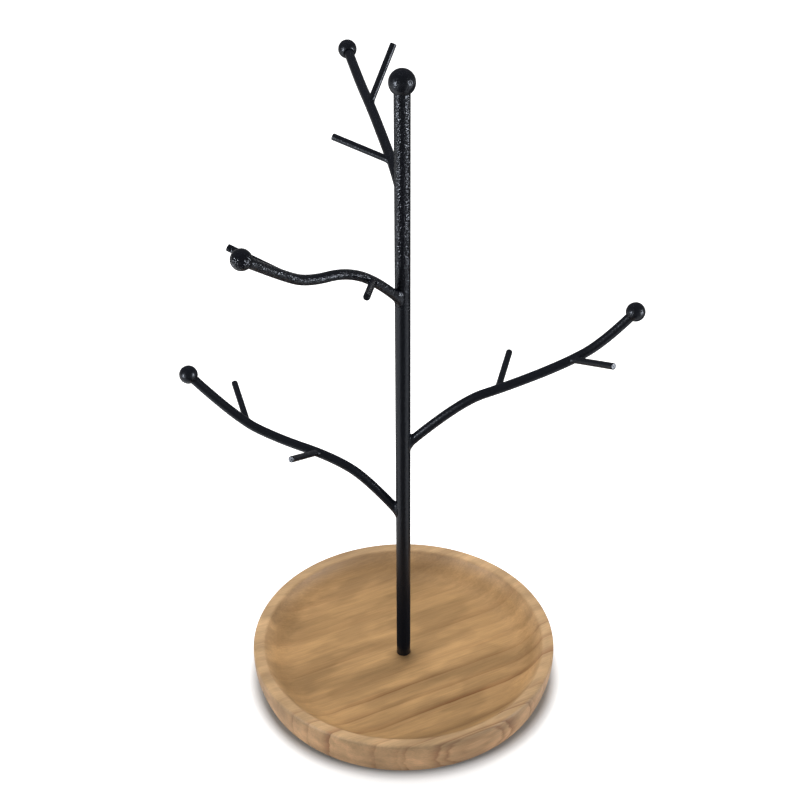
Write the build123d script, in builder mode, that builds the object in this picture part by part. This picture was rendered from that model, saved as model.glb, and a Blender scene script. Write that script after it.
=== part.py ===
"""Tabletop jewelry tree: four bent branches on an upright rod that stands in a turned wooden dish.

Units are millimetres. +Z is up, the origin is on the rod's axis at the table, and the front is -Y.
Every rod is round steel bar with a black coat. A branch is one bent bar, welded to the rod at its
root and capped with a drilled ball. Two twigs are welded to each branch, one to each side. The rod
is seated in the floor of the dish and held from below by one screw, which the base pad hides.
"""

import os
from math import cos, hypot, radians, sin, sqrt, tan

from build123d import *

os.makedirs("parts", exist_ok=True)

# ---- driving dimensions ----------------------------------------------------------------------

# base pad, under the dish
PAD_RADIUS = 55.0
PAD_THICKNESS = 1.5
PAD_EDGE_CHAMFER = 0.3

# turned wooden dish
DISH_HEIGHT = 18.0
RIM_RADIUS = 70.0  # outer edge of the rim
FOOT_RADIUS = 67.0  # where the outer wall meets the underside
WALL_BULGE = 1.2  # how far the outer wall swells past the straight line from foot to rim
RIM_WIDTH = 5.0
RIM_DROP = 0.6  # the rim's top falls this much inwards
FLOOR_RADIUS = 50.0  # flat part of the floor
FLOOR_THICKNESS = 8.0
RIM_OUTER_ROUND = 1.2
RIM_INNER_ROUND = 2.0
FOOT_ROUND = 1.5

# upright rod and the ball on its top
STEM_DIAMETER = 6.4
STEM_TOP_HEIGHT = 283.0  # height of the rod's end above the table
STEM_END_CHAMFER = 0.5
FINIAL_DIAMETER = 10.4
SOCKET_DEPTH = 1.5  # how deep the rod sits in the dish's floor

# screw and washer that pull the rod into its socket
SCREW_DIAMETER = 4.0
SCREW_LENGTH = 12.0
SCREW_HEAD_DIAMETER = 8.0
SCREW_HEAD_HEIGHT = 2.4
SCREW_HEAD_ROUND = 0.9
SCREW_TIP_CHAMFER = 0.5
THREAD_RUNOUT = 1.0  # the tapped hole in the rod is this much deeper than the screw
DRIVE_WIDTH = 4.4  # cross recess in the head, across its arms
DRIVE_ARM = 0.9
DRIVE_DEPTH = 1.4
WASHER_DIAMETER = 9.0
WASHER_THICKNESS = 0.8
COUNTERBORE_DIAMETER = 12.0
COUNTERBORE_DEPTH = 3.5

# branches, twigs and the balls on the branches' tips
BRANCH_DIAMETER = 4.1
BRANCH_WELD_RADIUS = 3.1  # of the weld's cone where it starts, on the rod's axis
BRANCH_WELD_LENGTH = 6.0  # from the rod's axis to the weld's outer end
TIP_BALL_DIAMETER = 8.0
BALL_BORE_DEPTH = 2.4  # how deep a rod's end sits in its ball
TWIG_DIAMETER = 2.8
TWIG_LENGTH = 26.0  # from the branch's centre line to the twig's end
TWIG_WELD_FLARE = 0.45  # how far the weld at a twig's foot stands out round it
TWIG_WELD_START = 0.75  # from the branch's centre line, inside the branch
TWIG_WELD_END = 3.8
TWIG_END_CHAMFER = 0.25

# clearances, each measured on the radius
BORE_CLEARANCE = 0.05  # a rod's end in its socket or ball, and the screw in its thread
SCREW_CLEARANCE = 0.25  # the screw through the wood and through the washer
BEND_SHARE = 0.45  # how much of the shorter run beside a bend its arc takes up

# Each branch: the direction that it points in, in degrees from +X towards +Y, and its centre line as
# (reach, height) points, from the rod's axis to the centre of its ball. Each twig: how far along the
# branch it is welded, as a share of its length, and its lean (outwards, to the left, up).
BRANCHES = {
    "upper_back": {
        "heading": 104.5,
        "route": [(0, 239.5), (9, 246), (28, 252), (50, 258.5), (72, 263), (93.5, 270)],
        "inner_twig": (0.19, (15.0, 20.0, 6.5)),
        "outer_twig": (0.58, (7.0, -12.0, 22.0)),
    },
    "upper_front": {
        "heading": -133.5,
        "route": [(0, 195), (12, 207.5), (30, 219), (50, 222), (62, 228.5), (80.5, 241.5)],
        "inner_twig": (0.24, (19.5, 16.0, 6.0)),
        "outer_twig": (0.72, (11.0, -21.5, 9.0)),
    },
    "lower_right": {
        "heading": 2.5,
        "route": [(0, 125), (23, 147), (44, 154.5), (66, 164), (82, 173.5), (94.5, 188)],
        "inner_twig": (0.43, (7.5, 24.5, 4.0)),
        "outer_twig": (0.72, (13.0, -21.0, 8.5)),
    },
    "lower_left": {
        "heading": 170,
        "route": [(0, 88.5), (15, 106.5), (31, 116.5), (55, 123.5), (73, 132), (93, 152)],
        "inner_twig": (0.43, (5.5, 23.0, 11.0)),
        "outer_twig": (0.72, (12.0, -22.5, 6.0)),
    },
}

# ---- places worked out from them ---------------------------------------------------------------

stem_radius = STEM_DIAMETER / 2
branch_radius = BRANCH_DIAMETER / 2
twig_radius = TWIG_DIAMETER / 2
finial_radius = FINIAL_DIAMETER / 2
tip_ball_radius = TIP_BALL_DIAMETER / 2

dish_bottom = PAD_THICKNESS
dish_floor = dish_bottom + FLOOR_THICKNESS
dish_top = dish_bottom + DISH_HEIGHT
stem_bottom = dish_floor - SOCKET_DEPTH
washer_top = dish_bottom + COUNTERBORE_DEPTH
washer_bottom = washer_top - WASHER_THICKNESS


def seat_from_centre(ball_radius, rod_radius):
    """Distance from a ball's centre to the floor of its bore, which the rod's end rests on."""
    return sqrt(ball_radius**2 - rod_radius**2) - BALL_BORE_DEPTH


finial_centre = STEM_TOP_HEIGHT + seat_from_centre(finial_radius, stem_radius)


def finish(builder, name):
    """Label a finished piece and write it to its own file."""
    builder.part.label = name
    export_step(builder.part, f"parts/{name}.step")


def drilled_ball(ball_radius, rod_radius, place):
    """A ball at a plane's origin, bored on the plane's +Z side to take a rod's end."""
    with BuildPart(place) as ball:
        Sphere(ball_radius)
        with Locations((0, 0, seat_from_centre(ball_radius, rod_radius))):
            Cylinder(
                rod_radius + BORE_CLEARANCE,
                ball_radius,
                align=(Align.CENTER, Align.CENTER, Align.MIN),
                mode=Mode.SUBTRACT,
            )
    return ball


# ---- base --------------------------------------------------------------------------------------

with BuildPart() as base_pad:
    Cylinder(PAD_RADIUS, PAD_THICKNESS, align=(Align.CENTER, Align.CENTER, Align.MIN))
    chamfer(base_pad.edges().group_by(Axis.Z)[0], PAD_EDGE_CHAMFER)
finish(base_pad, "base_pad")

rim_inner_radius = RIM_RADIUS - RIM_WIDTH
rim_inner_top = dish_top - RIM_DROP
hollow_rise = rim_inner_top - dish_floor
hollow_run = rim_inner_radius - FLOOR_RADIUS
hollow_arc_radius = (hollow_run**2 + hollow_rise**2) / (2 * hollow_rise)

with BuildPart() as wooden_dish:
    with BuildSketch(Plane.XZ):
        with BuildLine():
            Line((0, dish_bottom), (FOOT_RADIUS, dish_bottom))
            SagittaArc((FOOT_RADIUS, dish_bottom), (RIM_RADIUS, dish_top), -WALL_BULGE)
            Line((RIM_RADIUS, dish_top), (rim_inner_radius, rim_inner_top))
            RadiusArc(
                (rim_inner_radius, rim_inner_top),
                (FLOOR_RADIUS, dish_floor),
                hollow_arc_radius,
            )
            Line((FLOOR_RADIUS, dish_floor), (0, dish_floor))
            Line((0, dish_floor), (0, dish_bottom))
        make_face()
    revolve(axis=Axis.Z)
    fillet(wooden_dish.edges().group_by(Axis.Z)[0], FOOT_ROUND)
    rim_edges = wooden_dish.edges().filter_by(GeomType.CIRCLE).group_by(Axis.Z)
    fillet(rim_edges[-1], RIM_OUTER_ROUND)
    fillet(wooden_dish.edges().filter_by_position(Axis.Z, rim_inner_top, rim_inner_top), RIM_INNER_ROUND)
    with Locations((0, 0, dish_floor)):
        Hole(stem_radius + BORE_CLEARANCE, depth=SOCKET_DEPTH)
    Hole(SCREW_DIAMETER / 2 + SCREW_CLEARANCE)
    with Locations(Location((0, 0, dish_bottom), (180, 0, 0))):
        Hole(COUNTERBORE_DIAMETER / 2, depth=COUNTERBORE_DEPTH)
finish(wooden_dish, "wooden_dish")

# ---- screw and washer, seen only when the base pad is off ------------------------------------------

with BuildPart() as fixing_washer:
    with BuildSketch(Plane.XY.offset(washer_bottom)):
        Circle(WASHER_DIAMETER / 2)
        Circle(SCREW_DIAMETER / 2 + SCREW_CLEARANCE, mode=Mode.SUBTRACT)
    extrude(amount=WASHER_THICKNESS)
finish(fixing_washer, "fixing_washer")

with BuildPart(Plane.XY.offset(washer_bottom)) as fixing_screw:
    Cylinder(
        SCREW_HEAD_DIAMETER / 2,
        SCREW_HEAD_HEIGHT,
        align=(Align.CENTER, Align.CENTER, Align.MAX),
    )
    fillet(fixing_screw.edges().group_by(Axis.Z)[0], SCREW_HEAD_ROUND)
    with BuildSketch(Plane.XY.offset(washer_bottom - SCREW_HEAD_HEIGHT)):
        Rectangle(DRIVE_WIDTH, DRIVE_ARM)
        Rectangle(DRIVE_ARM, DRIVE_WIDTH)
    extrude(amount=DRIVE_DEPTH, mode=Mode.SUBTRACT)
    Cylinder(
        SCREW_DIAMETER / 2,
        SCREW_LENGTH,
        align=(Align.CENTER, Align.CENTER, Align.MIN),
    )
    chamfer(fixing_screw.edges().group_by(Axis.Z)[-1], SCREW_TIP_CHAMFER)
finish(fixing_screw, "fixing_screw")

# ---- upright rod and finial ball --------------------------------------------------------------------

thread_depth = washer_bottom + SCREW_LENGTH + THREAD_RUNOUT - stem_bottom

with BuildPart(Plane.XY.offset(stem_bottom)) as stem:
    Cylinder(
        stem_radius,
        STEM_TOP_HEIGHT - stem_bottom,
        align=(Align.CENTER, Align.CENTER, Align.MIN),
    )
    chamfer(stem.edges().group_by(Axis.Z)[-1], STEM_END_CHAMFER)
    with Locations(Location((0, 0, 0), (180, 0, 0))):
        Hole(SCREW_DIAMETER / 2 + BORE_CLEARANCE, depth=thread_depth)
finish(stem, "stem")

finial_place = Plane((0, 0, finial_centre), z_dir=(0, 0, -1))
finial_ball = drilled_ball(finial_radius, stem_radius, finial_place)
finish(finial_ball, "finial_ball")

# ---- branches, their tip balls and their twigs --------------------------------------------------------


def bend_radii(points):
    """Radius of the bend at each inner point, as large as the two runs beside it allow."""
    radii = []
    for before, corner, after in zip(points, points[1:], points[2:]):
        run_in = Vector(*corner) - Vector(*before)
        run_out = Vector(*after) - Vector(*corner)
        half_turn = radians(run_in.get_angle(run_out)) / 2
        radii.append(BEND_SHARE * min(run_in.length, run_out.length) / tan(half_turn))
    return radii


def bent_branch(plane, route):
    """The bent bar of one branch, from the rod's side to the floor of its ball's bore."""
    reach, rise = route[-1][0] - route[-2][0], route[-1][1] - route[-2][1]
    cut_back = seat_from_centre(tip_ball_radius, branch_radius) / hypot(reach, rise)
    bar_end = (route[-1][0] - reach * cut_back, route[-1][1] - rise * cut_back)
    bar_route = route[:-1] + [bar_end]
    with BuildPart() as branch:
        with BuildLine(plane) as bends:
            FilletPolyline(*bar_route, radius=bend_radii(bar_route))
        centre_line = bends.wires()[0]
        root = Plane(centre_line @ 0, z_dir=centre_line % 0)
        with BuildSketch(root):
            Circle(branch_radius)
        sweep(path=centre_line)
        with Locations(root.location):
            Cone(
                BRANCH_WELD_RADIUS,
                branch_radius,
                BRANCH_WELD_LENGTH,
                align=(Align.CENTER, Align.CENTER, Align.MIN),
            )
        Cylinder(
            stem_radius,
            STEM_TOP_HEIGHT,
            align=(Align.CENTER, Align.CENTER, Align.MIN),
            mode=Mode.SUBTRACT,
        )
    return branch, centre_line


def welded_twig(root, lean, plane, branch):
    """A straight twig whose foot is flared by its weld and cut to the branch that carries it."""
    outwards, left, up = lean
    direction = plane.x_dir * outwards - plane.z_dir * left + plane.y_dir * up
    across = direction.cross(plane.y_dir)
    foot_radius = twig_radius + TWIG_WELD_FLARE
    with BuildPart() as twig:
        with BuildSketch(Plane(root, x_dir=across, z_dir=across.cross(direction))):
            with BuildLine():
                Polyline(
                    (0, 0),
                    (foot_radius, 0),
                    (foot_radius, TWIG_WELD_START),
                    (twig_radius, TWIG_WELD_END),
                    (twig_radius, TWIG_LENGTH),
                    (0, TWIG_LENGTH),
                    close=True,
                )
            make_face()
        revolve(axis=Axis(root, direction))
        chamfer(twig.edges().sort_by(Axis(root, direction))[-1], TWIG_END_CHAMFER)
        add(branch.part, mode=Mode.SUBTRACT)
    return twig


for place_name, design in BRANCHES.items():
    heading = radians(design["heading"])
    branch_plane = Plane(
        (0, 0, 0),
        x_dir=(cos(heading), sin(heading), 0),
        z_dir=(sin(heading), -cos(heading), 0),
    )
    branch, centre_line = bent_branch(branch_plane, design["route"])
    finish(branch, f"{place_name}_branch")

    ball_centre = branch_plane.from_local_coords(Vector(*design["route"][-1]))
    ball_place = Plane(ball_centre, z_dir=-(centre_line % 1))
    finish(drilled_ball(tip_ball_radius, branch_radius, ball_place), f"{place_name}_ball")

    for twig_name in ("inner_twig", "outer_twig"):
        share, lean = design[twig_name]
        twig = welded_twig(centre_line @ share, lean, branch_plane, branch)
        finish(twig, f"{place_name}_{twig_name}")
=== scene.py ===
"""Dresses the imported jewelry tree: coated steel bars and their welds, drilled balls, a pine dish.

The scene is in metres, in the model's own frame: +Z up, the origin on the upright rod's axis at
the table, the front towards -Y. The dish, the bars and the balls stand for their CAD nodes. The
pad, the screw and the washer keep the CAD's own shapes, with better materials.
"""
from math import atan2, cos, degrees, pi, radians, sin, sqrt, tan

import bmesh
import bpy
from mathutils import Matrix, Vector


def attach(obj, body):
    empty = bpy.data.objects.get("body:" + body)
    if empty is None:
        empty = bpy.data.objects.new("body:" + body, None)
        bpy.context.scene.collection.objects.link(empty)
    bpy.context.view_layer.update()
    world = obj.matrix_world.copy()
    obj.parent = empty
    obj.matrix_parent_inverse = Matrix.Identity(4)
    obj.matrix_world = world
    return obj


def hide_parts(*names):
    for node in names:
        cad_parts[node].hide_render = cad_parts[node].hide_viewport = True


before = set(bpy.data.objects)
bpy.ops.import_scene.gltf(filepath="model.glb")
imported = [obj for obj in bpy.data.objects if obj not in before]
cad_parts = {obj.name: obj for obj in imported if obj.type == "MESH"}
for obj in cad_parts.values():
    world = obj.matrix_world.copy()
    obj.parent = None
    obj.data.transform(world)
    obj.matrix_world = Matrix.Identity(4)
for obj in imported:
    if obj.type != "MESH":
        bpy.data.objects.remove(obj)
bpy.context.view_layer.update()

MM = 0.001

# ---- sizes, as the model has them, in millimetres ----------------------------------------------

PAD_THICKNESS = 1.5
DISH_HEIGHT = 18.0
RIM_RADIUS = 70.0
FOOT_RADIUS = 67.0
WALL_BULGE = 1.2
RIM_WIDTH = 5.0
RIM_DROP = 0.6
FLOOR_RADIUS = 50.0
FLOOR_THICKNESS = 8.0
RIM_OUTER_ROUND = 1.2
RIM_INNER_ROUND = 2.0
FOOT_ROUND = 1.5
SOCKET_DEPTH = 1.5
SOCKET_MOUTH_BEVEL = 0.15
SCREW_HOLE_RADIUS = 2.25
COUNTERBORE_RADIUS = 6.0
COUNTERBORE_DEPTH = 3.5

STEM_DIAMETER = 6.4
STEM_TOP_HEIGHT = 283.0
STEM_END_ROUND = 0.5
FINIAL_DIAMETER = 10.4
BRANCH_DIAMETER = 4.1
TIP_BALL_DIAMETER = 8.0
TWIG_DIAMETER = 2.8
TWIG_LENGTH = 26.0
TWIG_START = 0.3  # from the branch's centre line
TWIG_END_ROUND = 0.3
BALL_BORE_DEPTH = 2.4
BORE_CLEARANCE = 0.05  # also of the rod in the dish's socket
BORE_MOUTH_ROUND = 0.22

BRANCH_WELD_SIZE = 1.5
BRANCH_WELD_SAG = 1.1  # how much larger the weld is underneath, as a share of its size
TWIG_WELD_SIZE = 1.0

# Heading in degrees from +X towards +Y; centre line as (reach, height); each twig's share of the
# branch's length and its lean (outwards, to the left, up).
BRANCHES = {
    "upper_back": {
        "heading": 104.5,
        "route": [(0, 239.5), (9, 246), (28, 252), (50, 258.5), (72, 263), (93.5, 270)],
        "inner_twig": (0.19, (15.0, 20.0, 6.5)),
        "outer_twig": (0.58, (7.0, -12.0, 22.0)),
    },
    "upper_front": {
        "heading": -133.5,
        "route": [(0, 195), (12, 207.5), (30, 219), (50, 222), (62, 228.5), (80.5, 241.5)],
        "inner_twig": (0.24, (19.5, 16.0, 6.0)),
        "outer_twig": (0.72, (11.0, -21.5, 9.0)),
    },
    "lower_right": {
        "heading": 2.5,
        "route": [(0, 125), (23, 147), (44, 154.5), (66, 164), (82, 173.5), (94.5, 188)],
        "inner_twig": (0.43, (7.5, 24.5, 4.0)),
        "outer_twig": (0.72, (13.0, -21.0, 8.5)),
    },
    "lower_left": {
        "heading": 170,
        "route": [(0, 88.5), (15, 106.5), (31, 116.5), (55, 123.5), (73, 132), (93, 152)],
        "inner_twig": (0.43, (5.5, 23.0, 11.0)),
        "outer_twig": (0.72, (12.0, -22.5, 6.0)),
    },
}


# ---- building node trees -----------------------------------------------------------------------


def fill_inputs(tree, node, inputs):
    """Gives each input its plain value, or links it to another node's output."""
    for key, value in inputs.items():
        if isinstance(value, bpy.types.NodeSocket):
            tree.links.new(value, node.inputs[key])
        else:
            node.inputs[key].default_value = value


def add_node(tree, kind, inputs=None, **settings):
    """A node with its settings. An input takes a plain value or another node's output."""
    made = tree.nodes.new(kind)
    for name, value in settings.items():
        setattr(made, name, value)
    fill_inputs(tree, made, inputs or {})
    return made


def maths(tree, operation, first, second=None, third=None, clamp=False):
    """The result of one Math node."""
    values = {i: v for i, v in enumerate((first, second, third)) if v is not None}
    return add_node(tree, "ShaderNodeMath", values, operation=operation, use_clamp=clamp).outputs[0]


def vector_maths(tree, operation, first, second=None, scale=None):
    """The result of one Vector Math node: a vector, or a number for a length."""
    values = {0: first}
    if second is not None:
        values[1] = second
    if scale is not None:
        values["Scale"] = scale
    made = add_node(tree, "ShaderNodeVectorMath", values, operation=operation)
    return made.outputs["Value" if operation == "LENGTH" else "Vector"]


def remap(tree, value, low, high, new_low=0.0, new_high=1.0):
    """A value's range low to high spread over new_low to new_high, and held inside it."""
    old_range = {"Value": value, "From Min": low, "From Max": high}
    inputs = {**old_range, "To Min": new_low, "To Max": new_high}
    return add_node(tree, "ShaderNodeMapRange", inputs).outputs["Result"]


def noise(tree, coordinates, scale, detail=2.0, roughness=0.5):
    """Noise on object coordinates in metres, so that its grain is about 1 / scale metres."""
    inputs = {"Vector": coordinates, "Scale": scale, "Detail": detail, "Roughness": roughness}
    return add_node(tree, "ShaderNodeTexNoise", inputs)


def blend_colour(tree, share, first, second, blend_type="MIX"):
    """Two colours mixed by a share, or by another of the Mix node's ways."""
    made = add_node(tree, "ShaderNodeMix", data_type="RGBA", blend_type=blend_type)
    fill_inputs(tree, made, {0: share, 6: first, 7: second})  # the Mix node's colour sockets
    return made.outputs[2]


def start_finish(name, **constants):
    """A new material with one Principled shader, which holds the constant values itself."""
    material = bpy.data.materials.new(name)
    material.use_nodes = True
    tree = material.node_tree
    shader = tree.nodes["Principled BSDF"]
    for socket, value in constants.items():
        shader.inputs[socket.replace("_", " ")].default_value = value
    place = add_node(tree, "ShaderNodeTexCoord").outputs["Object"]
    return material, tree, shader, place


def feed(tree, shader, socket, value):
    """Links a texture's result to one of the shader's sockets."""
    tree.links.new(value, shader.inputs[socket])


def times(tree, *factors):
    """The product of plain values and node outputs."""
    product, *others = factors
    for factor in others:
        product = maths(tree, "MULTIPLY", product, factor)
    return product


def relief(tree, shader, height, depth, strength=1.0):
    """Bump from a height of 0 to 1 that stands for a depth in metres."""
    inputs = {"Height": height, "Distance": depth, "Strength": strength}
    feed(tree, shader, "Normal", add_node(tree, "ShaderNodeBump", inputs).outputs["Normal"])


# ---- finishes ----------------------------------------------------------------------------------


# Every SCALE below counts a texture's features per metre.
NOISE_SPAN = (0.3, 0.7)  # the stretch that most of a noise lies in

COAT_COLOURS = ((0.0036, 0.0042, 0.0070, 1.0), (0.0058, 0.0066, 0.0100, 1.0))
COAT_CLOUD_SCALE = 95.0
COAT_ROUGHNESS = (0.12, 0.17)  # in the peel's dips and on its tops
COAT_DULLING = 0.17  # how much rougher the coat is where its peel is flat
PEEL_SCALE = 1300.0
PEEL_SPAN = (0.35, 0.65)
PEEL_DEPTH = 0.40 * MM
FLATTEST_PEEL = 0.3

# Where the peel flattens: on which axis, from where to where, and to what share of its depth.
PEEL_FADES = (
    ("Z", 212.0 * MM, 188.0 * MM, FLATTEST_PEEL),  # low down
    ("Y", 4.0 * MM, 16.0 * MM, FLATTEST_PEEL),  # on the bars behind
    ("Z", 280.0 * MM, 281.5 * MM, 0.40),  # on the finial ball
)


def black_powder_coat():
    """Satin black powder coat, whose orange peel glints where it isn't flat."""
    material, tree, shader, place = start_finish(
        "black_powder_coat",
        IOR=1.5,
        Specular_IOR_Level=0.45,
        Specular_Tint=(0.80, 0.87, 1.0, 1.0),
    )
    peel = noise(tree, place, PEEL_SCALE, detail=1.0).outputs["Fac"]
    cloud = noise(tree, place, COAT_CLOUD_SCALE).outputs["Fac"]
    spot = add_node(tree, "ShaderNodeSeparateXYZ", {0: place}).outputs
    fades = [remap(tree, spot[axis], *span, 1.0, share) for axis, *span, share in PEEL_FADES]
    coarseness = times(tree, *fades)
    relief(tree, shader, times(tree, peel, coarseness), PEEL_DEPTH)
    feed(tree, shader, "Base Color", blend_colour(tree, cloud, *COAT_COLOURS))
    roughness = remap(tree, peel, *PEEL_SPAN, *COAT_ROUGHNESS)
    dulling = remap(tree, coarseness, FLATTEST_PEEL, 1.0, COAT_DULLING, 0.0)
    feed(tree, shader, "Roughness", maths(tree, "ADD", roughness, dulling))
    return material


GRAIN_HEADING = 27.0  # of the fibres, in degrees from +X towards +Y
RING_LEAN = 17.0  # the growth rings' sides lean this many degrees out of upright
TRUNK_RADIUS = 130.0 * MM  # from the trunk's centre to the dish's middle
RING_WANDER = 5.0 * MM  # how far the growth rings stray in long waves
RING_RIPPLE = 1.8 * MM  # and in short ones
RING_END = 0.3 * MM  # how soon the dark late wood stops where a ring ends

EARLY_WOOD = (0.512, 0.336, 0.181, 1.0)
LATE_WOOD = (0.245, 0.112, 0.052, 1.0)

# Growth rings, counted from the dish's middle towards the front right, all in millimetres but the
# second: how far off, how dark, and how wide the dark late wood is before the ring ends.
GROWTH_RINGS = [
    (-84, 0.4, 5), (-70, 0.5, 6), (-61, 0.3, 4), (-49, 0.5, 7), (-44, 0.3, 2), (-30, 0.4, 8),
    (-19, 0.3, 4), (-9, 0.5, 7), (-1, 0.3, 3), (9, 0.4, 6), (18.4, 0.8, 3), (26.8, 0.7, 4),
    (36.3, 0.95, 5), (38.0, 0.4, 1), (51.3, 0.7, 4), (56.9, 0.7, 2), (58.4, 1.0, 1.5),
    (63.4, 0.9, 2), (64.6, 0.8, 1), (65.8, 0.5, 1),
]  # fmt: skip

# The grain's scale along the fibres, as a share of its scale across them.
LONG_GRAIN = 0.16
SHORT_GRAIN = 0.40
FIBRE_GRAIN = 0.03

WANDER_SCALE = 34.0
RIPPLE_SCALE = 260.0
FADE_SCALE = 55.0  # of the places where the late wood is pale
FADES = (0.35, 0.62, 0.35, 1.0)  # from where to where in that noise, and to what share

# Each layer of tone in the wood: its share along the fibres, its scale, detail and roughness, the
# stretch of noise that counts, and the tones at that stretch's two ends.
TONE_LAYERS = {
    "bands": (LONG_GRAIN, 75.0, 2.0, 0.5, (0.33, 0.67), (0.80, 1.17)),
    "patches": (SHORT_GRAIN, 90.0, 2.0, 0.5, (0.45, 0.57), (0.91, 1.10)),
    "streaks": (LONG_GRAIN, 420.0, 3.0, 0.65, (0.38, 0.62), (0.95, 1.05)),
    "fibres": (FIBRE_GRAIN, 1500.0, 3.0, 0.6, (0.25, 0.75), (0.88, 1.12)),
}
GROWTH_TONES = (-70.0 * MM, 30.0 * MM, 0.85, 1.04)  # the wood pales towards the bark
PINE_ROUGHNESS = (0.46, 0.60)
PINE_RELIEF = 0.05 * MM
RING_RELIEF = 0.5  # how high the late wood stands, as a share of the fibres' relief

# Painted light and shade on the dish's zones: the rim painted lighter, the whole hollow amber from
# pooled finish and painted darker, the hollow's slope painted darker still, and the outer wall
# painted lighter and warmer.
RIM_PAINTED_LIGHT = (1.15, 1.14, 1.13, 1.0)
HOLLOW_AMBER_AND_SHADE = (0.90, 0.82, 0.68, 1.0)
SLOPE_PAINTED_SHADE = (0.82, 0.74, 0.61, 1.0)
WALL_PAINTED_LIGHT = (1.20, 1.13, 1.10, 1.0)

# Where one zone fades into the next, by distance from the middle and by height.
SLOPE_STARTS = (46.0 * MM, 58.0 * MM)
HOLLOW_ENDS = (59.0 * MM, 65.5 * MM)
WALL_STARTS = (66.0 * MM, 67.0 * MM)
HOLLOW_BOTTOM = (7.0 * MM, 9.0 * MM)
WALL_TOP = (16.5 * MM, 18.5 * MM)


def late_wood(tree, growth):
    """How dark the late wood is, from 0 to 1: it deepens up to each ring's end and stops there."""
    dark = 0.0
    for distance, strength, width in GROWTH_RINGS:
        past = maths(tree, "SUBTRACT", growth, distance * MM)
        deepening = remap(tree, past, -width * MM, 0.0, 0.0, strength)
        ended = remap(tree, past, 0.0, RING_END, 1.0, 0.0)
        dark = maths(tree, "MAXIMUM", dark, times(tree, deepening, deepening, ended))
    return dark


def board_coordinates(tree, place):
    """Coordinates in the trunk, with the fibres along X and the trunk's centre at the origin."""
    heading, lean = radians(GRAIN_HEADING), radians(RING_LEAN)
    towards_bark = Vector((sin(heading) * cos(lean), -cos(heading) * cos(lean), -sin(lean)))
    inputs = {
        "Vector": place,
        "Location": towards_bark * -TRUNK_RADIUS,
        "Rotation": (0.0, 0.0, heading),
    }
    return add_node(tree, "ShaderNodeMapping", inputs, vector_type="TEXTURE").outputs["Vector"]


def drawn_out(tree, board, share):
    """The board's coordinates with only a share of their run along the fibres."""
    return vector_maths(tree, "MULTIPLY", board, (share, 1.0, 1.0))


def ring_growth(tree, board):
    """How far towards the bark a spot is from the ring through the dish's middle."""
    long_grain = drawn_out(tree, board, LONG_GRAIN)
    wander = noise(tree, long_grain, WANDER_SCALE).outputs["Color"]
    wander = vector_maths(tree, "SUBTRACT", wander, (0.5, 0.5, 0.5))
    wander = vector_maths(tree, "SCALE", wander, scale=RING_WANDER)
    across = vector_maths(tree, "ADD", drawn_out(tree, board, 0.0), wander)
    radius = vector_maths(tree, "LENGTH", across)
    ripple = noise(tree, long_grain, RIPPLE_SCALE, detail=3.0).outputs["Fac"]
    ripple = times(tree, maths(tree, "SUBTRACT", ripple, 0.5), RING_RIPPLE)
    return maths(tree, "SUBTRACT", maths(tree, "ADD", radius, ripple), TRUNK_RADIUS)


def zone_light_and_shade(tree, place):
    """The painted light and shade of the dish's rim, hollow, slope or outer wall, with the hollow's
    amber.
    """
    height = add_node(tree, "ShaderNodeSeparateXYZ", {0: place}).outputs["Z"]
    flat = vector_maths(tree, "LENGTH", vector_maths(tree, "MULTIPLY", place, (1.0, 1.0, 0.0)))
    over_floor = remap(tree, height, *HOLLOW_BOTTOM)
    in_hollow = times(tree, over_floor, remap(tree, flat, *HOLLOW_ENDS, 1.0, 0.0))
    on_slope = times(tree, in_hollow, remap(tree, flat, *SLOPE_STARTS))
    under_rim = remap(tree, height, *WALL_TOP, 1.0, 0.0)
    on_wall = times(tree, under_rim, remap(tree, flat, *WALL_STARTS))
    tint = blend_colour(tree, in_hollow, RIM_PAINTED_LIGHT, HOLLOW_AMBER_AND_SHADE)
    tint = blend_colour(tree, on_slope, tint, SLOPE_PAINTED_SHADE)
    return blend_colour(tree, on_wall, tint, WALL_PAINTED_LIGHT)


def pine():
    """Turned pine: the wide growth rings of a thick trunk, soft mottling and fine fibres."""
    material, tree, shader, place = start_finish("turned_pine", Specular_IOR_Level=0.35)
    board = board_coordinates(tree, place)
    growth = ring_growth(tree, board)
    faded = noise(tree, drawn_out(tree, board, SHORT_GRAIN), FADE_SCALE).outputs["Fac"]
    dark = times(tree, late_wood(tree, growth), remap(tree, faded, *FADES))
    ringed = blend_colour(tree, dark, EARLY_WOOD, LATE_WOOD)

    grain, tones = {}, [remap(tree, growth, *GROWTH_TONES)]
    for name, (share, scale, detail, roughness, stretch, ends) in TONE_LAYERS.items():
        coordinates = drawn_out(tree, board, share)
        grain[name] = noise(tree, coordinates, scale, detail, roughness).outputs["Fac"]
        tones.append(remap(tree, grain[name], *stretch, *ends))
    tone = times(tree, *tones)
    grey = add_node(tree, "ShaderNodeCombineColor", {0: tone, 1: tone, 2: tone}).outputs[0]
    toned = blend_colour(tree, 1.0, ringed, grey, "MULTIPLY")
    # The zones' painted light and shade multiply the wood's colour.
    colour = blend_colour(tree, 1.0, toned, zone_light_and_shade(tree, place), "MULTIPLY")
    feed(tree, shader, "Base Color", colour)
    roughness = remap(tree, grain["fibres"], *NOISE_SPAN, *PINE_ROUGHNESS)
    feed(tree, shader, "Roughness", roughness)
    ridges = maths(tree, "MULTIPLY_ADD", dark, RING_RELIEF, grain["fibres"])
    relief(tree, shader, ridges, PINE_RELIEF, strength=0.5)
    return material


FOAM_COLOURS = ((0.020, 0.020, 0.021, 1.0), (0.036, 0.035, 0.035, 1.0))
FOAM_CELL_SCALE = 1400.0
FOAM_CELL_DEPTH = 0.08 * MM
FOAM_DUST_SCALE = 60.0
FOAM_ROUGHNESS = (0.78, 0.92)


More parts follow.
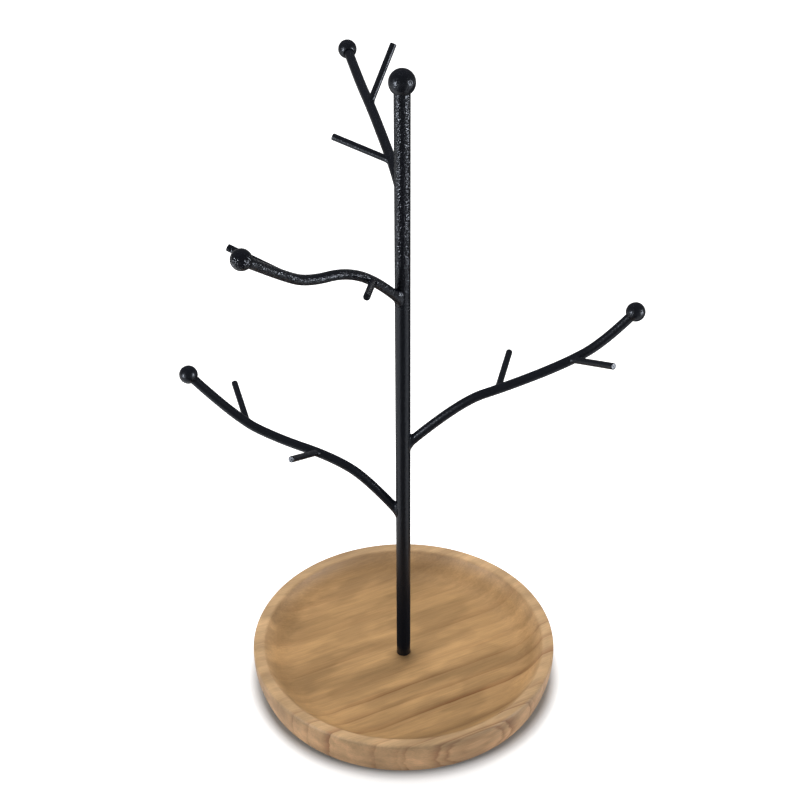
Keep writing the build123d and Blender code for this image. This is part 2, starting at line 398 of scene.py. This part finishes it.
def foam_rubber():
    """Matt black foam rubber with fine closed cells."""
    material, tree, shader, place = start_finish("foam_rubber")
    cells = add_node(tree, "ShaderNodeTexVoronoi", {"Vector": place, "Scale": FOAM_CELL_SCALE})
    dust = noise(tree, place, FOAM_DUST_SCALE, detail=3.0).outputs["Fac"]
    feed(tree, shader, "Base Color", blend_colour(tree, dust, *FOAM_COLOURS))
    feed(tree, shader, "Roughness", remap(tree, dust, *NOISE_SPAN, *FOAM_ROUGHNESS))
    relief(tree, shader, cells.outputs["Distance"], FOAM_CELL_DEPTH, strength=0.6)
    return material


ZINC_COLOURS = ((0.56, 0.57, 0.58, 1.0), (0.68, 0.68, 0.67, 1.0))
ZINC_LINE_SCALE = 900.0
ZINC_LINE_DEPTH = 0.02 * MM
ZINC_BLOTCH_SCALE = 300.0
ZINC_ROUGHNESS = (0.24, 0.40)


def zinc_plate():
    """Bright zinc plating with faint turning lines and blotches."""
    material, tree, shader, place = start_finish("zinc_plate", Metallic=1.0)
    squeezed = vector_maths(tree, "MULTIPLY", place, (1.0, 1.0, 8.0))
    lines = noise(tree, squeezed, ZINC_LINE_SCALE).outputs["Fac"]
    blotches = noise(tree, place, ZINC_BLOTCH_SCALE).outputs["Fac"]
    feed(tree, shader, "Base Color", blend_colour(tree, blotches, *ZINC_COLOURS))
    feed(tree, shader, "Roughness", remap(tree, blotches, *NOISE_SPAN, *ZINC_ROUGHNESS))
    relief(tree, shader, lines, ZINC_LINE_DEPTH, strength=0.5)
    return material


coat = black_powder_coat()
wood = pine()


# ---- bent bars, their welds and their rounded ends ---------------------------------------------


WELD_LUMP_SCALE = 900.0
WELD_LUMPS = (0.85, 1.10)  # shares of the weld's size in its dips and on its lumps
WELD_SINK = 0.6  # how deep in the carrier the fillet ends, as a share of the weld's size
OUTLINE_RADIUS = 1.0 * MM  # of the tube's rings before each gets the bar's own radius


def open_bar_tree():
    """An empty tree with the bar's named inputs and its geometry output."""
    tree = bpy.data.node_groups.new("coated_bar", "GeometryNodeTree")
    tree.interface.new_socket("Geometry", in_out="INPUT", socket_type="NodeSocketGeometry")
    for label, kind in (
        ("Bar Diameter", "NodeSocketFloat"),
        ("Sides", "NodeSocketInt"),
        ("Ring Spacing", "NodeSocketFloat"),
        ("End Round", "NodeSocketFloat"),
        ("Carrier", "NodeSocketObject"),
        ("Carrier Diameter", "NodeSocketFloat"),
        ("Weld Size", "NodeSocketFloat"),
        ("Weld Sag", "NodeSocketFloat"),
        ("Coat", "NodeSocketMaterial"),
    ):
        tree.interface.new_socket(label, in_out="INPUT", socket_type=kind)
    tree.interface.new_socket("Geometry", in_out="OUTPUT", socket_type="NodeSocketGeometry")
    return tree


def ring_radius(tree, given):
    """The bar's radius at each ring. The last ones shrink along a quarter circle to its end."""
    run = add_node(tree, "GeometryNodeSplineParameter").outputs["Length"]
    whole = add_node(tree, "GeometryNodeSplineLength").outputs["Length"]
    left_over = maths(tree, "SUBTRACT", whole, run)
    share = maths(tree, "DIVIDE", left_over, given["End Round"], clamp=True)
    dip = maths(tree, "SUBTRACT", 1.0, share)
    dip = maths(tree, "SUBTRACT", 1.0, times(tree, dip, dip))
    dip = maths(tree, "SUBTRACT", 1.0, maths(tree, "SQRT", dip))
    dip = times(tree, dip, given["End Round"])
    bar_radius = maths(tree, "DIVIDE", given["Bar Diameter"], 2.0)
    return maths(tree, "SUBTRACT", bar_radius, dip)


def weld_fillet(tree, given, spot, gap, facing):
    """The weld's lumpy size, and how far its fillet stands off the bar at a gap to the carrier."""
    lumps = noise(tree, spot, WELD_LUMP_SCALE, detail=1.0).outputs["Fac"]
    size = times(tree, given["Weld Size"], remap(tree, lumps, *NOISE_SPAN, *WELD_LUMPS))
    upwards = add_node(tree, "ShaderNodeSeparateXYZ", {0: facing}).outputs["Z"]
    downwards = maths(tree, "MULTIPLY", upwards, -1.0, clamp=True)
    sag = times(tree, given["Weld Sag"], downwards)
    size = times(tree, size, maths(tree, "ADD", sag, 1.0))
    reach = maths(tree, "SUBTRACT", size, maths(tree, "MAXIMUM", gap, 0.0))
    reach = maths(tree, "MAXIMUM", reach, 0.0)
    under_root = maths(tree, "SUBTRACT", times(tree, size, size), times(tree, reach, reach))
    fillet = maths(tree, "SUBTRACT", size, maths(tree, "SQRT", under_root))
    sunk = maths(tree, "DIVIDE", gap, times(tree, size, -WELD_SINK), clamp=True)
    return size, times(tree, fillet, maths(tree, "SUBTRACT", 1.0, sunk))


def coated_bar_tree():
    """A round bar along a curve, with a weld fillet where it meets the bar that carries it."""
    tree = open_bar_tree()
    given = tree.nodes.new("NodeGroupInput").outputs
    carrier_radius = maths(tree, "DIVIDE", given["Carrier Diameter"], 2.0)
    inputs = {"Curve": given["Geometry"], "Length": given["Ring Spacing"]}
    centre_line = add_node(tree, "GeometryNodeResampleCurve", inputs, mode="LENGTH")
    kept = add_node(
        tree,
        "GeometryNodeCaptureAttribute",
        {"Geometry": centre_line.outputs["Curve"]},
        domain="POINT",
    )
    kept.capture_items.new("VECTOR", "Centre")
    kept.capture_items.new("FLOAT", "Radius")
    spot = add_node(tree, "GeometryNodeInputPosition").outputs["Position"]
    tree.links.new(spot, kept.inputs["Centre"])
    tree.links.new(ring_radius(tree, given), kept.inputs["Radius"])
    inputs = {"Resolution": given["Sides"], "Radius": OUTLINE_RADIUS}
    outline = add_node(tree, "GeometryNodeCurvePrimitiveCircle", inputs)
    inputs = {
        "Curve": kept.outputs["Geometry"],
        "Profile Curve": outline.outputs["Curve"],
        "Fill Caps": True,
    }
    tube = add_node(tree, "GeometryNodeCurveToMesh", inputs)

    # Near its carrier the bar grows by a fillet that is tangent to both.
    carrier = add_node(
        tree, "GeometryNodeObjectInfo", {"Object": given["Carrier"]}, transform_space="RELATIVE"
    ).outputs["Geometry"]
    carrier_line = add_node(tree, "GeometryNodeCurveToMesh", {"Curve": carrier}).outputs["Mesh"]
    outwards = vector_maths(
        tree, "NORMALIZE", vector_maths(tree, "SUBTRACT", spot, kept.outputs["Centre"])
    )
    plain = vector_maths(tree, "SCALE", outwards, scale=kept.outputs["Radius"])
    plain = vector_maths(tree, "ADD", kept.outputs["Centre"], plain)
    round_bar = add_node(
        tree, "GeometryNodeSetPosition", {"Geometry": tube.outputs["Mesh"], "Position": plain}
    ).outputs["Geometry"]
    axis_gap = add_node(
        tree, "GeometryNodeProximity", {"Geometry": carrier_line}, target_element="EDGES"
    ).outputs["Distance"]
    surface_gap = maths(tree, "SUBTRACT", axis_gap, carrier_radius)
    remembered = add_node(
        tree, "GeometryNodeCaptureAttribute", {"Geometry": round_bar}, domain="POINT"
    )
    remembered.capture_items.new("FLOAT", "Gap")
    remembered.capture_items.new("VECTOR", "Outwards")
    tree.links.new(surface_gap, remembered.inputs["Gap"])
    tree.links.new(outwards, remembered.inputs["Outwards"])
    gap = remembered.outputs["Gap"]
    facing = remembered.outputs["Outwards"]
    size, fillet = weld_fillet(tree, given, spot, gap, facing)
    push = vector_maths(tree, "SCALE", facing, scale=fillet)
    flared = add_node(
        tree,
        "GeometryNodeSetPosition",
        {"Geometry": remembered.outputs["Geometry"], "Offset": push},
    ).outputs["Geometry"]

    # The fillet's edge then follows the carrier's round surface instead of standing off it.
    near = add_node(
        tree, "GeometryNodeProximity", {"Geometry": carrier_line}, target_element="EDGES"
    ).outputs["Position"]
    away = vector_maths(tree, "NORMALIZE", vector_maths(tree, "SUBTRACT", spot, near))
    hug = vector_maths(tree, "SCALE", away, scale=maths(tree, "ADD", carrier_radius, gap))
    on_carrier = vector_maths(tree, "ADD", near, hug)
    in_weld = maths(tree, "LESS_THAN", gap, size)
    inputs = {"Geometry": flared, "Selection": in_weld, "Position": on_carrier}
    hugged = add_node(tree, "GeometryNodeSetPosition", inputs).outputs["Geometry"]

    corners = add_node(tree, "GeometryNodeInputMeshFaceNeighbors").outputs["Vertex Count"]
    quads = maths(tree, "LESS_THAN", corners, 5.0)
    smooth = add_node(
        tree, "GeometryNodeSetShadeSmooth", {"Geometry": hugged, "Shade Smooth": quads}
    ).outputs["Geometry"]
    painted = add_node(
        tree, "GeometryNodeSetMaterial", {"Geometry": smooth, "Material": given["Coat"]}
    ).outputs["Geometry"]
    whole_piece = add_node(tree, "GeometryNodeRealizeInstances", {"Geometry": painted})
    done = tree.nodes.new("NodeGroupOutput")
    tree.links.new(whole_piece.outputs["Geometry"], done.inputs["Geometry"])
    return tree


LINE_RESOLUTION = 24  # samples on each stretch of a bent line


def line_object(name, points, bent=False):
    """A curve through points in millimetres: straight runs, or one smooth bent line."""
    curve = bpy.data.curves.new(name, "CURVE")
    curve.dimensions = "3D"
    curve.resolution_u = LINE_RESOLUTION
    spline = curve.splines.new("NURBS" if bent else "POLY")
    spline.points.add(len(points) - 1)
    for point, place in zip(spline.points, points):
        point.co = (*(Vector(place) * MM), 1.0)
    if bent:
        spline.order_u = 3
        spline.use_endpoint_u = True
    made = bpy.data.objects.new(name, curve)
    bpy.context.collection.objects.link(made)
    return made


def line_samples(line):
    """The points that a line object runs through, in millimetres."""
    bpy.context.view_layer.update()
    mesh = bpy.data.meshes.new_from_object(line)
    points = [vertex.co / MM for vertex in mesh.vertices]
    bpy.data.meshes.remove(mesh)
    return points


def point_along(points, share):
    """The point at a share of a line's length."""
    runs = [(b - a).length for a, b in zip(points, points[1:])]
    left = share * sum(runs)
    for start, end, run in zip(points, points[1:], runs):
        if left <= run:
            return start.lerp(end, left / run)
        left -= run
    return points[-1]


bar_tree = coated_bar_tree()


def coated_bar(
    name,
    line,
    diameter,
    carrier,
    carrier_diameter,
    weld,
    sag=0.0,
    sides=40,
    spacing=0.35,
    end_round=0.05,
):
    """One bar along a line, with its weld on the carrier, as a mesh. Sizes are in millimetres."""
    modifier = line.modifiers.new("coated_bar", "NODES")
    modifier.node_group = bar_tree
    values = {
        "Bar Diameter": diameter * MM,
        "Sides": sides,
        "Ring Spacing": spacing * MM,
        "End Round": end_round * MM,
        "Carrier": carrier,
        "Carrier Diameter": carrier_diameter * MM,
        "Weld Size": weld * MM,
        "Weld Sag": sag,
        "Coat": coat,
    }
    for item in bar_tree.interface.items_tree:
        if item.in_out == "INPUT" and item.name in values:
            modifier[item.identifier] = values[item.name]
    bpy.context.view_layer.update()
    evaluated = line.evaluated_get(bpy.context.evaluated_depsgraph_get())
    mesh = bpy.data.meshes.new_from_object(evaluated)
    mesh.name = name
    line.modifiers.remove(modifier)
    piece = bpy.data.objects.new(name, mesh)
    bpy.context.collection.objects.link(piece)
    return piece


def settle(piece, node):
    """The piece stands for its CAD node and moves with the stand."""
    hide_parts(node)
    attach(piece, "root")


# ---- turned pieces -----------------------------------------------------------------------------


def arc(centre, radius, start, end, steps):
    """Points of an arc between two angles in degrees, both ends included."""
    turn = [radians(start + (end - start) * i / steps) for i in range(steps + 1)]
    return [(centre[0] + radius * cos(a), centre[1] + radius * sin(a)) for a in turn]


SHARP_TURN = radians(28.0)  # edges that turn more than this are shaded as edges
ON_AXIS = 1e-6  # a profile point nearer the axis than this is one vertex
BALL_SIDES = 56
BALL_STEPS = 44
BORE_MOUTH_STEPS = 6


def turned(name, profile, sides, material, place=None):
    """A closed solid of revolution from (radius, height) points in millimetres, in given order."""
    shape = bmesh.new()
    rings = []
    for radius, height in profile:
        if radius < ON_AXIS:
            rings.append([shape.verts.new((0.0, 0.0, height))])
            continue
        turns = (2 * pi * i / sides for i in range(sides))
        rings.append([shape.verts.new((radius * cos(a), radius * sin(a), height)) for a in turns])
    for lower, upper in zip(rings, rings[1:]):
        for i in range(sides):
            j = (i + 1) % sides
            corners = [lower[i % len(lower)], lower[j % len(lower)]]
            corners += [upper[j % len(upper)], upper[i % len(upper)]]
            shape.faces.new(list(dict.fromkeys(corners)))
    if len(rings[0]) > 1:
        for i in range(sides):
            j = (i + 1) % sides
            shape.faces.new((rings[-1][i], rings[-1][j], rings[0][j], rings[0][i]))
    bmesh.ops.recalc_face_normals(shape, faces=shape.faces)
    for face in shape.faces:
        face.smooth = True
    for edge in shape.edges:
        edge.smooth = edge.calc_face_angle(0.0) < SHARP_TURN
    bmesh.ops.transform(
        shape, matrix=Matrix.Scale(MM, 4) @ (place or Matrix.Identity(4)), verts=shape.verts
    )
    mesh = bpy.data.meshes.new(name)
    shape.to_mesh(mesh)
    shape.free()
    mesh.materials.append(material)
    piece = bpy.data.objects.new(name, mesh)
    bpy.context.collection.objects.link(piece)
    return piece


def seat_from_centre(ball_radius, bar_radius):
    """Distance from a ball's centre to the floor of its bore, which the bar's end rests on."""
    return sqrt(ball_radius**2 - bar_radius**2) - BALL_BORE_DEPTH


def drilled_ball(name, diameter, bar_diameter, centre, bar_direction):
    """A ball with the bore for its bar, whose mouth is softly rounded by the coat."""
    radius = diameter / 2
    bore = bar_diameter / 2 + BORE_CLEARANCE
    # The mouth's round touches the ball's surface and the wall of the bore.
    round_centre_radius = bore + BORE_MOUTH_ROUND
    round_centre_height = sqrt((radius - BORE_MOUTH_ROUND) ** 2 - round_centre_radius**2)
    touch = 90.0 - degrees(atan2(round_centre_radius, round_centre_height))
    profile = arc((0, 0), radius, -90.0, touch, BALL_STEPS)
    profile[0] = (0.0, -radius)
    round_centre = (round_centre_radius, round_centre_height)
    profile += arc(round_centre, BORE_MOUTH_ROUND, touch, 180.0, BORE_MOUTH_STEPS)[1:]
    seat = seat_from_centre(radius, bar_diameter / 2)
    profile += [(bore, seat), (0.0, seat)]
    facing = Vector((0, 0, 1)).rotation_difference(bar_direction).to_matrix().to_4x4()
    return turned(name, profile, BALL_SIDES, coat, Matrix.Translation(centre) @ facing)


# ---- the dish ----------------------------------------------------------------------------------


DISH_SIDES = 240
SLOPE_STEPS = 30
WALL_STEPS = 24
CORNER_STEPS = 8
FLOOR_RINGS = (5, 8, 12, 17, 23, 30, 37, 43, 47)  # radii that cut up the flat faces
UNDERSIDE_RINGS = (60, 52, 40, 26, 14)
SLOPE_MARGIN = 0.1  # least distance of other points from a rounded corner
WALL_MARGIN = 0.2


def rounded_corner(before, corner, after, radius):
    """Points of the arc that rounds a corner between two straight or nearly straight runs."""
    back = (Vector(before) - Vector(corner)).normalized()
    on = (Vector(after) - Vector(corner)).normalized()
    half = back.angle(on) / 2
    cut = radius / tan(half)
    centre = Vector(corner) + (back + on).normalized() * (radius / sin(half))
    start = Vector(corner) + back * cut - centre
    end = Vector(corner) + on * cut - centre
    turn = start.angle_signed(end)
    points = []
    for i in range(CORNER_STEPS + 1):
        spoke = start.copy()
        spoke.rotate(Matrix.Rotation(-turn * i / CORNER_STEPS, 2))
        points.append(tuple(centre + spoke))
    return points


def dish_profile():
    """The dish's section, from its socket over the floor, hollow, rim and wall to its underside."""
    bottom = PAD_THICKNESS
    floor = bottom + FLOOR_THICKNESS
    top = bottom + DISH_HEIGHT
    inner_radius = RIM_RADIUS - RIM_WIDTH
    inner_top = top - RIM_DROP
    rise = inner_top - floor
    run = inner_radius - FLOOR_RADIUS
    hollow = (run**2 + rise**2) / (2 * rise)
    sweep = degrees(atan2(run, hollow - rise))
    socket_radius = STEM_DIAMETER / 2 + BORE_CLEARANCE
    socket_floor = floor - SOCKET_DEPTH
    counterbore = bottom + COUNTERBORE_DEPTH

    profile = [(socket_radius, socket_floor), (socket_radius, floor - SOCKET_MOUTH_BEVEL)]
    profile += [(socket_radius + SOCKET_MOUTH_BEVEL, floor)]
    profile += [(radius, floor) for radius in FLOOR_RINGS]
    slope = arc((FLOOR_RADIUS, floor + hollow), hollow, -90.0, -90.0 + sweep, SLOPE_STEPS)
    rim_inside, rim_outside = (inner_radius, inner_top), (RIM_RADIUS, top)
    below_lip = slope[-4]
    lip = rounded_corner(below_lip, rim_inside, rim_outside, RIM_INNER_ROUND)
    profile += [point for point in slope if point[0] < lip[0][0] - SLOPE_MARGIN] + lip
    wall = wall_line(bottom, top)
    brim = rounded_corner(lip[-1], rim_outside, wall[1], RIM_OUTER_ROUND)
    foot = rounded_corner(wall[-2], (FOOT_RADIUS, bottom), (0, bottom), FOOT_ROUND)
    lowest, highest = foot[0][1] + WALL_MARGIN, brim[-1][1] - WALL_MARGIN
    profile += brim + [point for point in wall if lowest < point[1] < highest] + foot
    profile += [(radius, bottom) for radius in UNDERSIDE_RINGS]
    profile += [(COUNTERBORE_RADIUS, bottom), (COUNTERBORE_RADIUS, counterbore)]
    profile += [(SCREW_HOLE_RADIUS, counterbore), (SCREW_HOLE_RADIUS, socket_floor)]
    return profile


def wall_line(bottom, top):
    """The outer wall's swelling line, from the rim down to the foot."""
    points = []
    for i in range(WALL_STEPS + 1):
        share = i / WALL_STEPS
        swell = WALL_BULGE * (1 - (2 * share - 1) ** 2)
        radius = RIM_RADIUS + (FOOT_RADIUS - RIM_RADIUS) * share
        height = top + (bottom - top) * share
        points.append((radius + swell, height))
    return points


dish = turned("turned_dish", dish_profile(), DISH_SIDES, wood)
settle(dish, "wooden_dish")

# ---- the upright rod, its finial, and the branches ---------------------------------------------

stem_radius = STEM_DIAMETER / 2
stem_bottom = PAD_THICKNESS + FLOOR_THICKNESS - SOCKET_DEPTH
stem_line = line_object("coated_stem_line", [(0, 0, stem_bottom), (0, 0, STEM_TOP_HEIGHT)])
# The rod has no weld of its own, so its carrier lies too far off to raise a fillet.
far_line = line_object("far_line", [(1000, 0, 0), (1000, 0, 10)])
stem = coated_bar(
    "coated_stem",
    stem_line,
    STEM_DIAMETER,
    far_line,
    carrier_diameter=0.0,
    weld=0.1,
    sides=64,
    spacing=0.25,
    end_round=STEM_END_ROUND,
)
settle(stem, "stem")

finial_radius = FINIAL_DIAMETER / 2
finial_centre = STEM_TOP_HEIGHT + seat_from_centre(finial_radius, stem_radius)
finial = drilled_ball(
    "turned_finial",
    FINIAL_DIAMETER,
    STEM_DIAMETER,
    Vector((0, 0, finial_centre)),
    Vector((0, 0, -1)),
)
settle(finial, "finial_ball")

helpers = [far_line, stem_line]
for place_name, design in BRANCHES.items():
    heading = radians(design["heading"])
    ahead = Vector((cos(heading), sin(heading), 0))
    left = Vector((-sin(heading), cos(heading), 0))
    upwards = Vector((0, 0, 1))
    route = [ahead * reach + upwards * height for reach, height in design["route"]]
    tip_direction = (route[-1] - route[-2]).normalized()
    ball_radius = TIP_BALL_DIAMETER / 2
    bar_end = route[-1] - tip_direction * seat_from_centre(ball_radius, BRANCH_DIAMETER / 2)
    bar_route = route[:-1] + [bar_end]
    branch_line = line_object(f"bent_{place_name}_branch_line", bar_route, bent=True)
    branch = coated_bar(
        f"bent_{place_name}_branch",
        branch_line,
        BRANCH_DIAMETER,
        stem_line,
        STEM_DIAMETER,
        BRANCH_WELD_SIZE,
        sag=BRANCH_WELD_SAG,
    )
    settle(branch, f"{place_name}_branch")
    helpers.append(branch_line)
    ball = drilled_ball(
        f"turned_{place_name}_ball", TIP_BALL_DIAMETER, BRANCH_DIAMETER, route[-1], -tip_direction
    )
    settle(ball, f"{place_name}_ball")
    samples = line_samples(branch_line)
    for twig_name in ("inner_twig", "outer_twig"):
        share, lean = design[twig_name]
        root = point_along(samples, share)
        direction = (ahead * lean[0] + left * lean[1] + upwards * lean[2]).normalized()
        ends = [root + direction * TWIG_START, root + direction * TWIG_LENGTH]
        twig_line = line_object(f"welded_{place_name}_{twig_name}_line", ends)
        twig = coated_bar(
            f"welded_{place_name}_{twig_name}",
            twig_line,
            TWIG_DIAMETER,
            branch_line,
            BRANCH_DIAMETER,
            TWIG_WELD_SIZE,
            sides=28,
            spacing=0.12,
            end_round=TWIG_END_ROUND,
        )
        settle(twig, f"{place_name}_{twig_name}")
        helpers.append(twig_line)
for helper in helpers:
    bpy.data.objects.remove(helper)

# ---- CAD nodes that stay get better materials --------------------------------------------------

for node, material in (
    ("base_pad", foam_rubber()),
    ("fixing_screw", zinc_plate()),
    ("fixing_washer", zinc_plate()),
):
    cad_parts[node].material_slots[0].material = material

# ---- camera, floor and light -------------------------------------------------------------------

# The camera as it was fitted to the photograph. Angles are in degrees.
PICTURE_WIDTH = 800  # in pixels, as the next two are
FOCAL_PIXELS = 1316.8
OPTICAL_CENTRE = (402.9, 397.0)
SENSOR_WIDTH = 36.0  # in the camera's own millimetres
CAMERA_PLACE = (0.0, -0.469, 0.4371)
CAMERA_PITCH = 31.44  # below the horizon
CAMERA_ROLL = -0.15

camera_data = bpy.data.cameras.new("camera")
camera_data.sensor_width = SENSOR_WIDTH
camera_data.lens = FOCAL_PIXELS / PICTURE_WIDTH * SENSOR_WIDTH
camera_data.shift_x = (PICTURE_WIDTH / 2 - OPTICAL_CENTRE[0]) / PICTURE_WIDTH
camera_data.shift_y = (OPTICAL_CENTRE[1] - PICTURE_WIDTH / 2) / PICTURE_WIDTH
camera_data.clip_start = 10.0 * MM
camera = bpy.data.objects.new("camera", camera_data)
bpy.context.collection.objects.link(camera)
turn = Matrix.Rotation(radians(90.0 - CAMERA_PITCH), 4, "X") @ Matrix.Rotation(
    radians(CAMERA_ROLL), 4, "Z"
)
camera.matrix_world = Matrix.Translation(CAMERA_PLACE) @ turn
bpy.context.scene.camera = camera

TABLE_RADIUS = 3.0
TABLE_DROP = 0.2 * MM  # keeps the table's top clear of the pad
TABLE_GREYS = ((0.62, 0.62, 0.62, 1.0), (0.63, 0.63, 0.63, 1.0))
TABLE_FLECK_SCALE = 4.0
GLOSS_LIFT = 0.25  # how much brighter gloss shows the table than the lamps make it
PAINTED_SHADOW_WIDTH = 0.95  # the painted shadow reaches a little further across than it does in depth

# How the table is lifted to white by emission: between which distances from the rod, and by how
# much at either. The lift is low next to the dish's foot and rises outwards, so it paints the soft
# falloff of the shadow around the dish over the real one.
TABLE_LIFTS = (
    (65.5 * MM, 71.5 * MM, 0.03, 0.75),
    (71.5 * MM, 90.0 * MM, 0.00, 0.25),
)


def white_floor():
    """A white table lifted to plain white by emission, whose lift is low near the dish and paints a
    soft shadow's falloff over the real shadow.
    """
    material, tree, shader, place = start_finish(
        "white_table",
        Roughness=0.9,
        Specular_IOR_Level=0.0,
        Emission_Color=(1.0, 1.0, 1.0, 1.0),
    )
    fleck = noise(tree, place, TABLE_FLECK_SCALE).outputs["Fac"]
    feed(tree, shader, "Base Color", blend_colour(tree, fleck, *TABLE_GREYS))
    squeezed = vector_maths(tree, "MULTIPLY", place, (PAINTED_SHADOW_WIDTH, 1.0, 1.0))
    reach = vector_maths(tree, "LENGTH", squeezed)
    # Painted shadow: the lift falls away towards the dish's foot.
    near, far = (remap(tree, reach, *span) for span in TABLE_LIFTS)
    rays = add_node(tree, "ShaderNodeLightPath").outputs
    shown = maths(tree, "MAXIMUM", rays["Is Camera Ray"], rays["Is Transmission Ray"])
    lift = times(tree, shown, maths(tree, "ADD", near, far))
    lift = maths(tree, "MULTIPLY_ADD", rays["Is Glossy Ray"], GLOSS_LIFT, lift)
    feed(tree, shader, "Emission Strength", lift)
    return material


floor_mesh = bpy.data.meshes.new("table_top")
floor_shape = bmesh.new()
bmesh.ops.create_circle(floor_shape, cap_ends=True, segments=64, radius=TABLE_RADIUS)
bmesh.ops.translate(floor_shape, verts=floor_shape.verts, vec=(0.0, 0.0, -TABLE_DROP))
floor_shape.to_mesh(floor_mesh)
floor_shape.free()
floor_mesh.materials.append(white_floor())
table_top = bpy.data.objects.new("table_top", floor_mesh)
bpy.context.collection.objects.link(table_top)

CARD_STEPS = 32
CARD_CLOUD_SCALE = 5.0
CARD_CLOUDS = (0.9, 1.1)  # the shares of a card's shade that its clouds run between


def dim_card(name, start, end, shade, inner=85.0 * MM, outer=900.0 * MM, height=0.2 * MM):
    """A dim flat sector that only gloss shows, a painted dark reflection, between two angles from
    -Y towards +X.
    """
    shape = bmesh.new()
    turns = [radians(start + (end - start) * i / CARD_STEPS) for i in range(CARD_STEPS + 1)]
    inside, outside = (
        [shape.verts.new((radius * sin(a), -radius * cos(a), height)) for a in turns]
        for radius in (inner, outer)
    )
    for i in range(CARD_STEPS):
        shape.faces.new((inside[i], outside[i], outside[i + 1], inside[i + 1]))
    mesh = bpy.data.meshes.new(name)
    shape.to_mesh(mesh)
    shape.free()
    material, tree, shader, place = start_finish(name, Roughness=1.0)
    cloud = noise(tree, place, CARD_CLOUD_SCALE).outputs["Fac"]
    greys = [(*[share * shade] * 3, 1.0) for share in CARD_CLOUDS]
    feed(tree, shader, "Base Color", blend_colour(tree, cloud, *greys))
    mesh.materials.append(material)
    card = bpy.data.objects.new(name, mesh)
    bpy.context.collection.objects.link(card)
    for ray in ("camera", "diffuse", "transmission", "volume_scatter", "shadow"):
        setattr(card, f"visible_{ray}", False)


# The cards paint dark reflections that keep the bars' middles and edges dark between two lighter
# bands. The first two lie on the table, and the third lies over the dish's floor, where its painted
# dark reflection keeps the bars' lower ends dark.
dim_card("dim_front", -40, 36, shade=0.08)
dim_card("dim_back", 88, 230, shade=0.04)
dim_card("dim_hollow", 0, 360, shade=0.03, inner=6.0 * MM, outer=54.0 * MM, height=9.9 * MM)

SKY_FILL = 0.12  # even light from all round
ROOM_GLOSS = 0.17  # what gloss shows of the room on the camera's side
BACKDROP_GLOSS = 0.12  # and of the white backdrop, which stands far back
BACKDROP_EDGE = (0.35, 0.75)  # how far back a direction points where the room gives way to it

world = bpy.data.worlds.new("studio")
world.use_nodes = True
bpy.context.scene.world = world
sky = world.node_tree
# The surroundings are white where they show, dim in gloss, and an even fill to all other light.
direction = add_node(sky, "ShaderNodeTexCoord").outputs["Generated"]
towards_back = add_node(sky, "ShaderNodeSeparateXYZ", {0: direction}).outputs["Y"]
room_and_backdrop = remap(sky, towards_back, *BACKDROP_EDGE, ROOM_GLOSS, BACKDROP_GLOSS)
rays = add_node(sky, "ShaderNodeLightPath").outputs
glossy_only = times(sky, rays["Is Glossy Ray"], room_and_backdrop)
shown = maths(sky, "MAXIMUM", rays["Is Camera Ray"], rays["Is Transmission Ray"])
shown = maths(sky, "MAXIMUM", shown, glossy_only)
unseen = maths(sky, "SUBTRACT", 1.0, maths(sky, "MAXIMUM", shown, rays["Is Glossy Ray"]))
sky_strength = maths(sky, "MULTIPLY_ADD", unseen, SKY_FILL, shown)
sky.links.new(sky_strength, sky.nodes["Background"].inputs["Strength"])
sky.nodes["Background"].inputs["Color"].default_value = (1.0, 1.0, 1.0, 1.0)

LAMP_TARGET = Vector((0.0, 0.0, 0.14))  # the middle of the stand
SIDE_LAMPS = {"left": Vector((-0.92, -0.56, 0.27)), "right": Vector((1.03, -0.34, 0.25))}
SIDE_LAMP_SIZE = (0.24, 0.40)
SIDE_LAMP_WATTS = 4.2
STRIP_SIZE = (0.16, 0.40)
STRIP_WATTS = 4.83
STRIP_PLACE = 0.98  # share of the side lamp's distance
OVERHEAD_PLACE = Vector((-0.10, 0.42, 1.15))
OVERHEAD_SIZE = (0.80, 0.80)
OVERHEAD_WATTS = 14.5


def softbox(name, place, size, watts):
    """A soft rectangular lamp that faces the stand."""
    light = bpy.data.lights.new(name, "AREA")
    light.shape = "RECTANGLE"
    light.size, light.size_y = size
    light.energy = watts
    lamp = bpy.data.objects.new(name, light)
    bpy.context.collection.objects.link(lamp)
    lamp.location = place
    lamp.rotation_mode = "QUATERNION"
    lamp.rotation_quaternion = (LAMP_TARGET - place).to_track_quat("-Z", "Y")
    return lamp


# In front of each side lamp stands a narrow strip that only gloss shows.
for side, place in SIDE_LAMPS.items():
    softbox(f"{side}_softbox", place, SIDE_LAMP_SIZE, SIDE_LAMP_WATTS)
    strip = softbox(f"{side}_strip", STRIP_PLACE * place, STRIP_SIZE, STRIP_WATTS)
    strip.visible_diffuse = False
overhead = softbox("overhead_softbox", OVERHEAD_PLACE, OVERHEAD_SIZE, OVERHEAD_WATTS)
overhead.visible_glossy = False

scene = bpy.context.scene
scene.view_settings.view_transform = "Standard"
